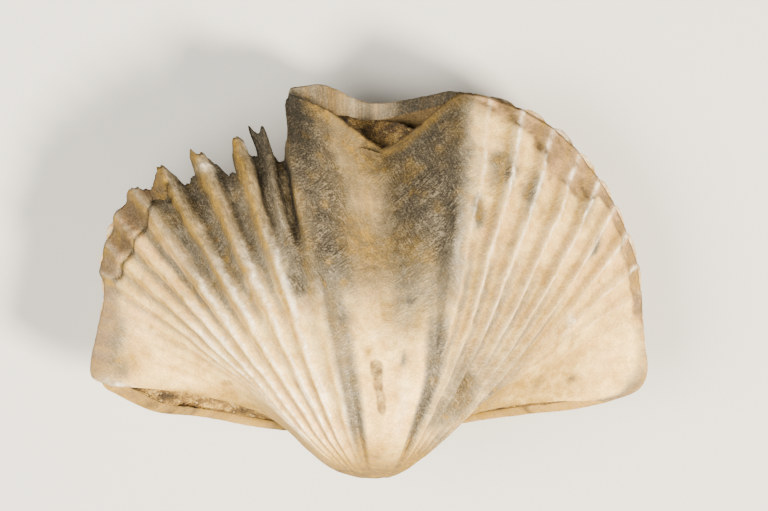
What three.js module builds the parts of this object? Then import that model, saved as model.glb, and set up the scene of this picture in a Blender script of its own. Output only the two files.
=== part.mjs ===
// A fossil lamp shell (brachiopod) with both valves closed on a filling of
// hardened sediment. Millimetres, +X to the right along the hinge, +Y from the
// beak to the front, +Z up. It lies on a small flat spot on the lower valve.
import * as THREE from 'three';

// Driving dimensions
const seamHeight = 8.5;           // where the two valves meet, above the surface
const beakY = -15.9;              // tip of the upper beak
const beakRise = 4.4;             // height of that tip above the seam
const beakPuff = 8;               // how much the umbo swells up just in front of it
const umboLeft = 10;              // how far the ribs of the umbo swell out, left side
const umboRight = 8;              // the same on the right side, which is slimmer
const umboBand = 13.5;            // the smooth band outside the ribs on the left
const domeRise = 10.1;            // arch of the upper valve over its own edges
const lowerBeakY = -12.3;         // tip of the lower beak
const lowerArch = 7.6;            // arch of the lower valve
const bendY = -9.0;               // where the ribs bend over the shoulders
const shoulderSpread = 10.4;      // how far out the ribs head before they bend to the edge
const hingeSpread = 5.2;          // how much less far the lines beside the hinge head out
const ridgeSpread = [3.0, 2.0];   // how much farther beside the trough, left and right
const lowerBendY = -8.2;          // the same bend on the lower valve
const lowerSpread = 10.5;         // how far out its ribs head
const lowerHinge = [4.4, 3.0];    // how far its hinge line hangs back, left and right
const lowerCorner = [0.8, 0.2];   // how far its hinge corners hang back, left and right
const lowerPuff = 2.4;            // swelling of the lower umbo
const ribRelief = 0.42;           // crest above the mean surface, at the middle of the flank
const ridgeRelief = 0.2;          // ridge beside the trough
const brokenRelief = 0.3;         // extra relief where the front was broken and worn
const beadRelief = 0.3;           // lumps of the left margin
const troughWidth = 0.175;        // half the median trough, as a place along the edge
const troughDepth = 1.25;         // median trough of the upper valve
const furrowLeft = 0.16;          // furrows on both sides of the beak's middle strip
const furrowRight = [0.203, 0.15];  // the right one runs inwards: place near the beak, farther on
const furrowDepth = 0.5;
const foldWidth = 0.2;            // half the median fold of the lower valve
const foldHeight = 1.1;
const foldLip = 1.2;              // how far the fold's lip stands forward, left of the middle
const shellPlan = [0.96, 0.945];  // hollow of the upper and lower valve: share of the plan
const shellRise = [0.87, 0.86];   // and share of the height
const fillPlan = [0.935, 0.92];   // top and bottom of the sediment: share of the plan
const fillRise = [0.81, 0.78];    // and share of the height

// Places of the rib crests, from the ridge beside the trough out to the wing:
// 0 is the middle of the edge and 1 the end of the hinge line
const leftRibs = [
  0.2, 0.305, 0.383, 0.457, 0.53, 0.6, 0.668, 0.73, 0.785, 0.835, 0.88, 0.92,
];
const rightRibs = [
  0.215, 0.28, 0.348, 0.42, 0.488, 0.555, 0.625, 0.693, 0.755, 0.81, 0.86, 0.9, 0.935,
];

// How far the crests stand out of those places: place along the rib, shift
const leftLean = [[0.4, 0.01], [0.8, -0.012]];
const rightLean = [[0.3, -0.02], [0.55, 0], [0.7, 0], [0.88, 0.02]];

// Outline of the closed shell: place along the edge, distance out from the
// middle, y. The wing tips are rounded, and the right one hangs farther back.
const leftOutline = [
  [0.0, 0.0, 14.4], [0.12, 4.7, 15.0], [0.2, 7.7, 15.4], [0.3, 12.3, 14.1],
  [0.4, 16.3, 11.8], [0.5, 19.2, 8.5], [0.6, 20.9, 5.0], [0.7, 21.9, 1.4],
  [0.77, 21.7, -1.2], [0.84, 22.2, -3.8], [0.9, 22.7, -6.2], [0.95, 22.6, -7.7],
  [1.0, 21.1, -8.4],
];
const rightOutline = [
  [0.0, 0.0, 14.4], [0.12, 4.7, 15.0], [0.2, 7.7, 15.4], [0.3, 12.3, 14.1],
  [0.4, 16.1, 11.7], [0.5, 18.9, 8.3], [0.6, 20.7, 5.0], [0.7, 22.0, 1.4],
  [0.8, 22.3, -2.2], [0.88, 22.5, -5.2], [0.93, 22.7, -7.2], [0.965, 21.9, -8.8],
  [1.0, 19.4, -9.7],
];

// How far each piece reaches towards that outline: place along the edge, reach.
// The upper valve is jagged at the left front and notched in the middle.
const upperReach = [
  [-1.0, 1.0], [-0.56, 1.0], [-0.5, 0.975], [-0.462, 0.965], [-0.42, 0.9],
  [-0.377, 0.945], [-0.33, 0.875], [-0.286, 0.93], [-0.262, 0.875],
  [-0.238, 0.957], [-0.214, 0.862], [-0.2, 0.865], [-0.19, 1.0], [-0.135, 1.0],
  [-0.06, 0.968], [0.017, 0.925], [0.075, 0.948], [0.17, 1.0], [1.0, 1.0],
];
const lowerReach = [
  [-1.0, 1.0], [-0.58, 1.0], [-0.52, 0.9], [-0.44, 0.84], [-0.24, 0.8],
  [-0.21, 0.84], [-0.19, 1.0], [1.0, 1.0],
];
const lowerHollowReach = [
  [-1.0, 1.0], [-0.58, 1.0], [-0.52, 0.9], [-0.44, 0.84], [-0.24, 0.8],
  [-0.19, 0.92], [-0.09, 0.95], [0.0, 0.985], [0.1, 0.995], [0.2, 1.0], [1.0, 1.0],
];
const fillReach = [
  [-1.0, 0.97], [-0.6, 0.95], [-0.5, 0.84], [-0.22, 0.78], [-0.18, 0.88],
  [-0.09, 0.945], [0.0, 0.98], [0.12, 0.98], [0.3, 0.955], [0.5, 0.955], [1.0, 0.97],
];

// Heights of the edges above the seam: place along the edge, height
const upperEdge = [[0, -1.4], [0.1, 0.3], [0.19, 1.6], [0.3, 0.7], [0.45, 0.25], [1, 0.17]];
const lowerEdge = [[0, -2.6], [0.1, -1.8], [0.2, -0.4], [0.35, -0.2], [1, -0.17]];

const mix = (a, b, t) => a + (b - a) * t;
const clamp01 = (t) => Math.min(1, Math.max(0, t));
const smooth = (low, high, t) => {
  const s = clamp01((t - low) / (high - low));
  return s * s * (3 - 2 * s);
};
const bell = (t, middle, width) => Math.exp(-(((t - middle) / width) ** 2));
const hump = (t) => Math.max(0, Math.sin(Math.PI * t));
const roundTop = (t) => Math.cos(clamp01(t) * (Math.PI / 2)) ** 2;
const bySide = (v, pair) => (v < 0 ? pair[0] : pair[1]);

// Value of a table at a place, on straight lines between its points.
function table(points, place) {
  let k = 1;
  while (k < points.length - 1 && points[k][0] < place) k += 1;
  const [a, b] = [points[k - 1], points[k]];
  return mix(a[1], b[1], clamp01((place - a[0]) / (b[0] - a[0])));
}

// Point of the outline, on a smooth curve through its points.
function outlinePoint(v) {
  const side = Math.abs(v);
  const outline = bySide(v, [leftOutline, rightOutline]);
  const at = (i) => {
    const p = outline[Math.min(Math.abs(i), outline.length - 1)];
    return i < 0 ? [-p[0], -p[1], p[2]] : p;
  };
  const k = outline.findIndex((p, i) => i > 0 && side <= p[0] + 1e-9);
  const [before, start, end, after] = [at(k - 2), at(k - 1), at(k), at(k + 1)];
  const span = end[0] - start[0];
  const t = (side - start[0]) / span;
  const curve = (c) => {
    const leave = ((end[c] - before[c]) / (end[0] - before[0])) * span;
    const arrive = ((after[c] - start[c]) / (after[0] - start[0])) * span;
    return (2 * t ** 3 - 3 * t ** 2 + 1) * start[c] + (t ** 3 - 2 * t ** 2 + t) * leave
      + (3 * t ** 2 - 2 * t ** 3) * end[c] + (t ** 3 - t ** 2) * arrive;
  };
  return [(v < 0 ? -1 : 1) * curve(1), curve(2)];
}

// Ribs counted outwards from the ridge beside the trough, whole at a crest. On
// the left the crests lean inwards towards the edge, on the right outwards.
function ribNumber(u, v) {
  const crests = bySide(v, [leftRibs, rightRibs]);
  const side = Math.abs(v);
  const lean = v < 0
    ? table(leftLean, u) * smooth(0.2, 0.3, side)
    : table(rightLean, u) * (1 - smooth(0.2, 0.6, side));
  const place = side - lean;
  let k = 1;
  while (k < crests.length - 1 && crests[k] < place) k += 1;
  return k - 1 + clamp01((place - crests[k - 1]) / (crests[k] - crests[k - 1]));
}

// A line from the beak to the edge, seen from above: a quadratic curve over a
// bend. u runs along it from 0 to 1 and v says which line it is.
function planPoint(u, v, beak, bend) {
  const [edgeX, edgeY] = outlinePoint(v);
  const a = (1 - u) ** 2;
  const b = 2 * u * (1 - u);
  const c = u * u;
  return [b * bend[0] + c * edgeX, a * beak + b * bend[1] + c * edgeY];
}

// How far the umbo swells out to its side. On the left the lines beside the
// hinge go farther out than the ribs, and make the smooth band outside them.
function umboSwing(u, v) {
  const side = Math.abs(v);
  const turn = Math.sin((Math.PI / 2) * side ** 0.8);
  if (v > 0) return umboRight * turn * Math.sqrt(u) * (1 - u) ** 8;
  const ribs = umboLeft * turn * Math.sqrt(u) * (1 - u) ** 4;
  const band = umboBand * Math.sqrt(u) * (1 - u) ** 3;
  return mix(ribs, band, smooth(0.6, 1, side));
}

// Smooth surface of the upper valve, without its ribs.
function upperSkin(u, v) {
  const side = Math.abs(v);
  const sign = Math.sign(v);
  const bendX = shoulderSpread * smooth(0, 0.62, side) - hingeSpread * smooth(0.55, 1, side)
    + bySide(v, ridgeSpread) * bell(side, 0.2, 0.16);
  const [x, y] = planPoint(u, v, beakY, [sign * bendX, bendY]);
  const across = Math.max(0, Math.cos((Math.PI / 2) * side)) ** (0.85 + 0.6 * side);
  const puff = beakPuff * Math.sqrt(u) * (1 - u) ** 4 * (1 - side * side);
  const trough = troughDepth * roundTop(side / troughWidth) * smooth(0.3, 0.85, u);
  const z = beakRise * (1 - u) ** 1.2 + domeRise * across * hump(u) ** 0.95
    + table(upperEdge, side) * u * u + puff - trough;
  return [x + sign * umboSwing(u, v), y, seamHeight + z];
}

// Height of the ribs and furrows over that surface.
function upperRelief(u, v) {
  const side = Math.abs(v);
  const ridge = bySide(v, [leftRibs, rightRibs])[0];
  const furrowPlace = v < 0 ? furrowLeft : mix(...furrowRight, clamp01((u - 0.4) / 0.22));
  const furrow = -furrowDepth * bell(side, furrowPlace, 0.024)
    * smooth(0.03, 0.2, u) * (1 - smooth(0.55, 0.95, u));
  if (side < ridge) return furrow + ridgeRelief * bell(side, ridge, 0.03) * smooth(0, 0.3, u);
  const n = ribNumber(u, v);
  const split = v < 0 && n < 1 ? 0.8 * smooth(0.5, 0.75, u) : 0;
  const wave = mix(Math.cos(2 * Math.PI * n), Math.cos(4 * Math.PI * n), split);
  const grow = smooth(0, 0.22, u) * mix(0.55, 1.1, u);
  const fade = mix(1, 0.1, smooth(0.58, 0.84, side));
  const flank = v < 0 ? 1 : mix(0.85, 0.5, smooth(0.7, 1, u));
  const worn = v < 0 ? brokenRelief * bell(v, -0.35, 0.16) * smooth(0.6, 0.9, u) : 0;
  const beads = v < 0 ? beadRelief * bell(v, -0.66, 0.13) * smooth(0.9, 0.97, u) : 0;
  return furrow + wave * (ribRelief * grow * fade * flank + worn + beads);
}

// Smooth surface of the lower valve, which bulges downwards.
function lowerSkin(u, v) {
  const side = Math.abs(v);
  const sign = Math.sign(v);
  const nose = Math.sqrt(u) * (1 - u) ** 4;
  const lineX = lowerSpread * smooth(0, 0.7, side) + 2.0 * bell(side, 0.25, 0.2);
  const lineY = lowerBendY - bySide(v, lowerHinge) * smooth(0.55, 1, side);
  const [x, y] = planPoint(u, v, lowerBeakY, [sign * lineX, lineY]);
  const across = Math.max(0, Math.cos((Math.PI / 2) * side)) ** (0.8 + 0.5 * side);
  const fold = roundTop(side / foldWidth) * smooth(0.1, 0.7, u) * hump(Math.min(u, 0.97)) ** 0.5;
  const z = 0.9 * (1 - u) ** 2 + lowerArch * across * hump(u) ** 0.9
    - table(lowerEdge, side) * u * u + lowerPuff * nose * (1 - side * side) + foldHeight * fold;
  const lip = foldLip * bell(v, -0.09, 0.07) * u ** 6;
  const corner = bySide(v, lowerCorner) * bell(u, 0.85, 0.14) * smooth(0.85, 1, side);
  return [x + sign * side * 4 * nose, y + lip - corner, seamHeight - z];
}

// Its ribs lie under the grooves of the upper valve, so that the edges fit.
function lowerRelief(u, v) {
  const side = Math.abs(v);
  const ridge = bySide(v, [leftRibs, rightRibs])[0];
  if (side < ridge) return -ridgeRelief * bell(side, ridge, 0.03) * smooth(0, 0.3, u);
  const grow = smooth(0, 0.25, u) * mix(0.5, 1, u);
  const fade = mix(1, 0.12, smooth(0.58, 0.86, side));
  return -Math.cos(2 * Math.PI * ribNumber(u, v)) * 0.8 * ribRelief * grow * fade;
}

// A point of a skin, raised by its relief along the surface's own direction.
function raised(skin, relief, u, v, outward) {
  const step = 0.004;
  const place = Math.max(u, 1e-6);
  const between = (u0, v0, u1, v1) => new THREE.Vector3(...skin(u1, v1))
    .sub(new THREE.Vector3(...skin(u0, v0)));
  const along = between(Math.max(u - step, 0.001), v, Math.min(u + step, 1), v);
  const across = between(place, Math.max(v - step, -1), place, Math.min(v + step, 1));
  const normal = across.cross(along).normalize().multiplyScalar(outward);
  return new THREE.Vector3(...skin(u, v)).addScaledVector(normal, relief(u, v));
}

// The same skin drawn in towards the middle of the shell.
function drawnIn(skin, plan, rise) {
  return (u, v) => {
    const [x, y, z] = skin(u, v);
    return new THREE.Vector3(x * plan, y * plan, seamHeight + (z - seamHeight) * rise);
  };
}

// A sheet of points: one at the beak, then a row for each step along the lines.
// reach says where each line stops. The rim is its border with a mark for each
// point: 0 to 1 out along the left side, to 2 along the edge, to 3 back.
function sheet(rows, lines, reach, shape) {
  const points = [shape(0, 0)];
  const faces = [];
  const index = (row, column) => 1 + (row - 1) * lines.length + column;
  for (let row = 1; row <= rows; row += 1) {
    const along = (row / rows) ** 1.2;
    lines.forEach((v) => points.push(shape(along * table(reach, v), v)));
  }
  const last = lines.length - 1;
  for (let column = 0; column < last; column += 1) {
    faces.push([0, index(1, column + 1), index(1, column)]);
    for (let row = 1; row < rows; row += 1) {
      const [a, b] = [index(row, column), index(row, column + 1)];
      const [c, d] = [index(row + 1, column), index(row + 1, column + 1)];
      faces.push([a, b, d], [a, d, c]);
    }
  }
  const rim = [{ point: 0, mark: 0 }];
  for (let row = 1; row <= rows; row += 1) rim.push({ point: index(row, 0), mark: row / rows });
  for (let column = 1; column <= last; column += 1) {
    rim.push({ point: index(rows, column), mark: 1 + (lines[column] + 1) / 2 });
  }
  for (let row = rows - 1; row >= 1; row -= 1) {
    rim.push({ point: index(row, last), mark: 3 - row / rows });
  }
  return { points, faces, rim };
}

// One closed body from an upper and a lower sheet, joined all along their rims.
function closedBody(top, bottom) {
  const shift = top.points.length;
  const faces = [...top.faces];
  bottom.faces.forEach(([a, b, c]) => faces.push([a + shift, c + shift, b + shift]));
  const ring = (rim, k, add) => rim[k % rim.length].point + add;
  const nextMark = (rim, k) => (k + 1 < rim.length ? rim[k + 1].mark : 3);
  let [i, j] = [0, 0];
  while (i < top.rim.length || j < bottom.rim.length) {
    const a = ring(top.rim, i, 0);
    const b = ring(bottom.rim, j, shift);
    const topFirst = nextMark(top.rim, i) <= nextMark(bottom.rim, j);
    if (j >= bottom.rim.length || (i < top.rim.length && topFirst)) {
      faces.push([a, ring(top.rim, i + 1, 0), b]);
      i += 1;
    } else {
      faces.push([a, ring(bottom.rim, j + 1, shift), b]);
      j += 1;
    }
  }
  const numbers = [...top.points, ...bottom.points].flatMap((p) => [p.x, p.y, p.z]);
  const geometry = new THREE.BufferGeometry();
  geometry.setAttribute('position', new THREE.Float32BufferAttribute(numbers, 3));
  geometry.setIndex(faces.flat());
  geometry.computeVertexNormals();
  return geometry;
}

// Lines of a fine sheet: eight over half the trough, then four for each rib and
// eight for the first one on the left, which splits in two.
function ribLines() {
  const half = (crests, first) => {
    const places = [];
    for (let k = 1; k <= 8; k += 1) places.push((k / 8) * crests[0]);
    crests.slice(1).forEach((crest, i) => {
      const count = i === 0 ? first : 4;
      for (let k = 1; k <= count; k += 1) places.push(mix(crests[i], crest, k / count));
    });
    return [...places, 0.96, 1];
  };
  return [...half(leftRibs, 8).map((v) => -v).reverse(), 0, ...half(rightRibs, 4)];
}

function evenLines(count) {
  return Array.from({ length: count + 1 }, (_, k) => -1 + (2 * k) / count);
}

// The flat spot is where the lower valve would pass below the surface.
function restOnSurface(point) {
  point.z = Math.max(point.z, 0);
  return point;
}

function solid(name, colour, roughness, top, bottom) {
  const material = new THREE.MeshStandardMaterial({ color: colour, roughness, metalness: 0 });
  const mesh = new THREE.Mesh(closedBody(top, bottom), material);
  mesh.name = name;
  return mesh;
}

function pedicleValve() {
  const outside = sheet(18, ribLines(), upperReach,
    (u, v) => raised(upperSkin, upperRelief, u, v, 1));
  const inside = sheet(8, evenLines(32), upperReach, drawnIn(upperSkin, shellPlan[0], shellRise[0]));
  return solid('pedicle_valve', 0xcfc3a8, 0.7, outside, inside);
}

function brachialValve() {
  const outside = sheet(14, ribLines(), lowerReach,
    (u, v) => restOnSurface(raised(lowerSkin, lowerRelief, u, v, -1)));
  const inside = sheet(8, evenLines(32), lowerHollowReach, drawnIn(lowerSkin, shellPlan[1], shellRise[1]));
  return solid('brachial_valve', 0xc9b99c, 0.7, inside, outside);
}

function sedimentFill() {
  const top = sheet(9, evenLines(32), fillReach, drawnIn(upperSkin, fillPlan[0], fillRise[0]));
  const bottom = sheet(9, evenLines(32), fillReach, drawnIn(lowerSkin, fillPlan[1], fillRise[1]));
  return solid('sediment_fill', 0x8a6a3c, 0.95, top, bottom);
}

const shell = new THREE.Group();
shell.add(pedicleValve(), brachialValve(), sedimentFill());

// The origin is under the middle of the shell's box, on the surface it lies on.
const box = new THREE.Box3().setFromObject(shell);
const middle = box.getCenter(new THREE.Vector3());
shell.position.set(-middle.x, -middle.y, -box.min.z);

export default shell;
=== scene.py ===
"""A fossil lamp shell (brachiopod): two ribbed valves closed on hardened mud.

Every surface is a function of u, from 0 at the beak to 1 at the edge, and v, from
-1 at the left wing over 0 at the middle to 1 at the right wing. Shapes are worked
out in millimetres and put into the meshes in metres, where the CAD solids are.
"""

import itertools
import math

import bpy
import numpy as np
from mathutils import Matrix, Vector


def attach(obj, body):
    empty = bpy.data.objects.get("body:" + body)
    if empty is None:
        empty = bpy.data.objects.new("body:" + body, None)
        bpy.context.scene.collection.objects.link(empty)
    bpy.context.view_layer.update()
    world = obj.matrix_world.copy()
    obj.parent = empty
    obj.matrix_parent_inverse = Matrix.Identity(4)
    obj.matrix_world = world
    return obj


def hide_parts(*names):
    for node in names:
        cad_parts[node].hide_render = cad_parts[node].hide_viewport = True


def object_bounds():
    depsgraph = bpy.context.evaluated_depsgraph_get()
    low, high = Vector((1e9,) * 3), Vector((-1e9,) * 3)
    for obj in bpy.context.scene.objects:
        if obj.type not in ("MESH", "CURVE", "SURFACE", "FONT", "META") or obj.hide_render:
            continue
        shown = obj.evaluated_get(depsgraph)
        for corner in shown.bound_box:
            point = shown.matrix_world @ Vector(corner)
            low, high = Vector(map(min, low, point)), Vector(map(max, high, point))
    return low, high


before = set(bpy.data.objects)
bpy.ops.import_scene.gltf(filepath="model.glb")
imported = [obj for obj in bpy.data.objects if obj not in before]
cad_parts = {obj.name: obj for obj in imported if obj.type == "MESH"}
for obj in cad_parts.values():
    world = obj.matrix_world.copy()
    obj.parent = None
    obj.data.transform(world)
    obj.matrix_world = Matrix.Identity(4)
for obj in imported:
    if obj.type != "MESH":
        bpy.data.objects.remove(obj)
cad_low, cad_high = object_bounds()

MM = 0.001                 # metres in a millimetre

# Driving dimensions, millimetres
SEAM = 8.5
BEAK_Y = -15.9
BEAK_RISE = 4.4
BEAK_PUFF = 8.0
UMBO_LEFT = 10.0
UMBO_RIGHT = 8.0
UMBO_BAND = 13.5
DOME_RISE = 10.1
LOWER_BEAK_Y = -12.3
LOWER_ARCH = 7.6
BEND_Y = -9.0
SHOULDER_SPREAD = 10.4
HINGE_SPREAD = 5.2
RIDGE_SPREAD = (3.0, 2.0)
LOWER_BEND_Y = -8.2
LOWER_SPREAD = 10.5
LOWER_HINGE = (4.4, 3.0)
LOWER_CORNER = (0.8, 0.2)
LOWER_PUFF = 2.4
SHELL_WALL = 0.8
RIB_RELIEF = 0.42
BROKEN_RELIEF = 0.3
TROUGH_WIDTH = 0.175
TROUGH_DEPTH = 1.25
FURROW_DEPTH = 0.5
FOLD_WIDTH = 0.2
FOLD_HEIGHT = 1.1
FOLD_LIP = 1.2
FIRST_RIB = 0.2

# Places of the rib crests on the two flanks, from the trough out to the wing
LEFT_RIBS = np.array([0.2, 0.305, 0.383, 0.457, 0.53, 0.6, 0.668, 0.73, 0.785, 0.835, 0.88, 0.92])
RIGHT_RIBS = np.array([0.215, 0.28, 0.348, 0.42, 0.488, 0.555, 0.625, 0.693, 0.755, 0.81,
                       0.86, 0.9, 0.935])

# Outline of the closed shell: place along the edge, distance out, y
FRONT_OUTLINE = [[0.0, 0.0, 14.4], [0.12, 4.7, 15.0], [0.2, 7.7, 15.4], [0.3, 12.3, 14.1]]
LEFT_OUTLINE = np.array(FRONT_OUTLINE + [
    [0.4, 16.3, 11.8], [0.5, 19.2, 8.5], [0.6, 20.9, 5.0], [0.7, 21.9, 1.4],
    [0.77, 21.7, -1.2], [0.84, 22.2, -3.8], [0.9, 22.7, -6.2], [0.95, 22.6, -7.7],
    [1.0, 21.1, -8.4],
])
RIGHT_OUTLINE = np.array(FRONT_OUTLINE + [
    [0.4, 16.1, 11.7], [0.5, 18.9, 8.3], [0.6, 20.7, 5.0], [0.7, 22.0, 1.4],
    [0.8, 22.3, -2.2], [0.88, 22.5, -5.2], [0.93, 22.7, -7.2], [0.965, 21.9, -8.8],
    [1.0, 19.4, -9.7],
])

# How far each surface reaches towards that outline: place along the edge, reach.
# The broken edge has every tooth; the plain one passes under the teeth.
BROKEN_EDGE = np.array([
    [-1.0, 1.0], [-0.62, 1.0], [-0.539, 0.993], [-0.522, 0.987], [-0.5055, 0.98],
    [-0.4886, 0.966], [-0.479, 0.965], [-0.472, 0.969], [-0.438, 0.967], [-0.432, 0.957],
    [-0.428, 0.945], [-0.42, 0.929], [-0.412, 0.92], [-0.406, 0.922], [-0.402, 0.932],
    [-0.392, 0.925], [-0.3885, 0.927], [-0.3865, 0.946], [-0.3766, 0.957],
    [-0.3725, 0.95], [-0.368, 0.938], [-0.361, 0.941], [-0.3565, 0.947], [-0.354, 0.938],
    [-0.343, 0.925], [-0.3395, 0.914], [-0.3335, 0.908], [-0.3265, 0.896],
    [-0.3105, 0.896], [-0.309, 0.918], [-0.307, 0.927], [-0.298, 0.933], [-0.29, 0.937],
    [-0.278, 0.935], [-0.2765, 0.917], [-0.272, 0.911], [-0.2646, 0.907], [-0.26, 0.908],
    [-0.2585, 0.962], [-0.256, 0.965], [-0.251, 0.953], [-0.2485, 0.943], [-0.244, 0.941],
    [-0.239, 0.948], [-0.2345, 0.945], [-0.2335, 0.928], [-0.232, 0.903], [-0.228, 0.898],
    [-0.2264, 0.89], [-0.217, 0.892], [-0.2114, 0.903], [-0.2076, 0.91], [-0.2, 0.913],
    [-0.195, 0.92], [-0.1935, 0.965], [-0.19, 0.981], [-0.1757, 0.998],
    [-0.157, 0.999], [-0.133, 0.995], [-0.107, 0.987],
    [-0.085, 0.98], [-0.052, 0.967], [-0.019, 0.951], [0.009, 0.932],
    [0.024, 0.921], [0.039, 0.923], [0.061, 0.934], [0.081, 0.944],
    [0.102, 0.955], [0.122, 0.967], [0.143, 0.981], [0.176, 0.994],
    [0.2, 1.0], [1.0, 1.0],
])
PLAIN_EDGE = np.array([
    [-1.0, 1.0], [-0.56, 1.0], [-0.5, 0.965], [-0.42, 0.935], [-0.3, 0.915],
    [-0.2, 0.925], [-0.16, 1.0], [-0.06, 0.97], [0.024, 0.921], [0.1, 0.955],
    [0.18, 0.995], [0.22, 1.0], [1.0, 1.0],
])
UPPER_HOLLOW_EDGE = np.array([
    [-1.0, 0.99], [-0.56, 0.98], [-0.5, 0.93], [-0.42, 0.87], [-0.23, 0.84],
    [-0.2, 0.86], [-0.165, 0.95], [-0.135, 0.96], [-0.06, 0.94], [0.024, 0.895],
    [0.1, 0.93], [0.19, 0.97], [0.4, 0.98], [1.0, 0.99],
])
LOWER_EDGE = np.array([
    [-1.0, 0.955], [-0.95, 0.96], [-0.9, 0.975], [-0.84, 1.0], [-0.58, 1.0], [-0.52, 0.9],
    [-0.44, 0.84], [-0.24, 0.8], [-0.2, 0.82], [-0.17, 1.0], [1.0, 1.0],
])
LOWER_HOLLOW_EDGE = np.array([
    [-1.0, 0.945], [-0.9, 0.96], [-0.84, 0.98], [-0.58, 0.98], [-0.52, 0.88], [-0.44, 0.82],
    [-0.24, 0.78], [-0.2, 0.8], [-0.165, 0.93], [-0.09, 0.95], [0.0, 0.985], [0.1, 0.995],
    [0.2, 1.0], [1.0, 1.0],
])
MUD_EDGE = np.array([
    [-1.0, 0.985], [-0.6, 0.97], [-0.5, 0.86], [-0.22, 0.8], [-0.19, 0.82], [-0.15, 0.9],
    [-0.1, 0.93], [-0.05, 0.97], [0.0, 0.985], [0.05, 0.975], [0.1, 0.95], [0.15, 0.945],
    [0.2, 0.96], [0.3, 0.97], [0.5, 0.97], [1.0, 0.985],
])

# Heights of the edges above the seam: place along the edge, height
UPPER_RISE = np.array([[0, -1.4], [0.1, 0.3], [0.19, 1.6], [0.3, 0.7], [0.45, 0.25], [1, 0.17]])
LOWER_RISE = np.array([[0, -2.6], [0.1, -1.8], [0.2, -0.4], [0.35, -0.2], [1, -0.17]])


def mix(a, b, t):
    """a where t is 0, b where t is 1."""
    return a + (b - a) * t


def smooth(low, high, t):
    """S curve from 0 at low to 1 at high."""
    s = np.clip((t - low) / (high - low), 0, 1)
    return s * s * (3 - 2 * s)


def window(low, rise, fall, high, t):
    """1 between rise and fall, with an S curve down to 0 at low and at high."""
    return smooth(low, rise, t) * (1 - smooth(fall, high, t))


def bell(t, middle, width):
    """Bell curve: 1 at the middle, 1/e at width from it."""
    return np.exp(-(((t - middle) / width) ** 2))


def hump(t):
    """Half a sine wave over 0 to 1, and 0 outside."""
    return np.maximum(0, np.sin(np.pi * np.clip(t, 0, 1)))


def round_top(t):
    """Squared cosine: 1 at 0, falling to 0 at 1."""
    return np.cos(np.clip(t, 0, 1) * np.pi / 2) ** 2


def most(*masks):
    """The strongest of some masks at each point."""
    return np.maximum.reduce(masks)


def table(points, place):
    """Value of a table at a place, on straight lines between its points."""
    return np.interp(place, points[:, 0], points[:, 1])


def noise(points, size, seed):
    """Smooth noise, -1 to 1: random values on a cubic lattice with spacing size
    in millimetres, blended between the corners of each cell with an S curve."""
    cells = 32
    values = np.random.default_rng(seed).random((cells, cells, cells)) * 2 - 1
    place = points / size + 1000.0
    corner = np.floor(place).astype(int)
    t = place - corner
    t = t * t * (3 - 2 * t)
    total = 0
    for step in itertools.product((0, 1), repeat=3):
        weight = np.prod(np.where(step, t, 1 - t), axis=-1)
        total = total + weight * values[tuple(np.moveaxis((corner + step) % cells, -1, 0))]
    return total


def rough(points, size, seed, octaves=3):
    """Noise with finer and fainter copies of itself added, each half the size."""
    return sum(noise(points, size / 2 ** k, seed + k) / 2 ** k for k in range(octaves))


def spots(u, v, rows):
    """Soft oval spots, -1 to 1. Each row is place v, place u, half width in v,
    half length in u and strength; the strongest spot counts where they meet."""
    total = np.zeros(np.broadcast(u, v).shape)
    for at_v, at_u, wide, long, strength in rows:
        total = np.maximum(total, strength * bell(v, at_v, wide) * bell(u, at_u, long))
    return total


def smooth_curve(points, place):
    """x and y at a place of a table, on a smooth curve through its points: between
    two of them, a cubic whose slopes come from the points on either side."""
    padded = np.concatenate([[points[1] * [-1, -1, 1]], points, points[-1:]])
    k = np.clip(np.searchsorted(points[:, 0], place - 1e-9), 1, len(points) - 1)
    before, start, end, after = (padded[k + i] for i in (-1, 0, 1, 2))
    span = end[..., 0] - start[..., 0]
    t = (place - start[..., 0]) / span

    def curve(c):
        leave = (end[..., c] - before[..., c]) / (end[..., 0] - before[..., 0]) * span
        arrive = (after[..., c] - start[..., c]) / (after[..., 0] - start[..., 0]) * span
        return ((2 * t ** 3 - 3 * t ** 2 + 1) * start[..., c] + (t ** 3 - 2 * t ** 2 + t) * leave
                + (3 * t ** 2 - 2 * t ** 3) * end[..., c] + (t ** 3 - t ** 2) * arrive)

    return curve(1), curve(2)


def by_side(v, pair):
    """The first of a pair on the left of the middle, the second on the right."""
    return np.where(v < 0, pair[0], pair[1])


def outline_point(v):
    """Point of the closed shell's outline at a place along the edge."""
    left = smooth_curve(LEFT_OUTLINE, np.abs(v))
    right = smooth_curve(RIGHT_OUTLINE, np.abs(v))
    return by_side(v, (-left[0], right[0])), by_side(v, (left[1], right[1]))


def rib_number(u, v):
    """Ribs counted outwards from the ridge beside the trough, whole at a crest.
    On the left the crests lean inwards towards the edge, on the right outwards."""
    lean_left = mix(0.01, -0.012, smooth(0.4, 0.8, u)) * smooth(0.2, 0.3, -v)
    lean_right = (np.interp(u, [0.3, 0.55, 0.7, 0.88], [-0.02, 0, 0, 0.02])
                  * (1 - smooth(0.2, 0.6, v)))
    left = np.interp(-v - lean_left, LEFT_RIBS, np.arange(len(LEFT_RIBS)))
    right = np.interp(v - lean_right, RIGHT_RIBS, np.arange(len(RIGHT_RIBS)))
    return np.where(v < 0, left, right)


def furrow_place(u, v):
    """Where the furrow beside the beak's strip lies. On the right it starts
    farther out."""
    return np.where(v < 0, 0.16, np.interp(u, [0.4, 0.62], [0.203, 0.15]))


def plan_point(u, v, beak, bend_x, bend_y):
    """A line from the beak to the edge, seen from above: a quadratic curve that
    starts at the beak, heads for a bend and ends on the outline."""
    edge_x, edge_y = outline_point(v)
    a, b, c = (1 - u) ** 2, 2 * u * (1 - u), u * u
    return b * bend_x + c * edge_x, a * beak + b * bend_y + c * edge_y


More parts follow.
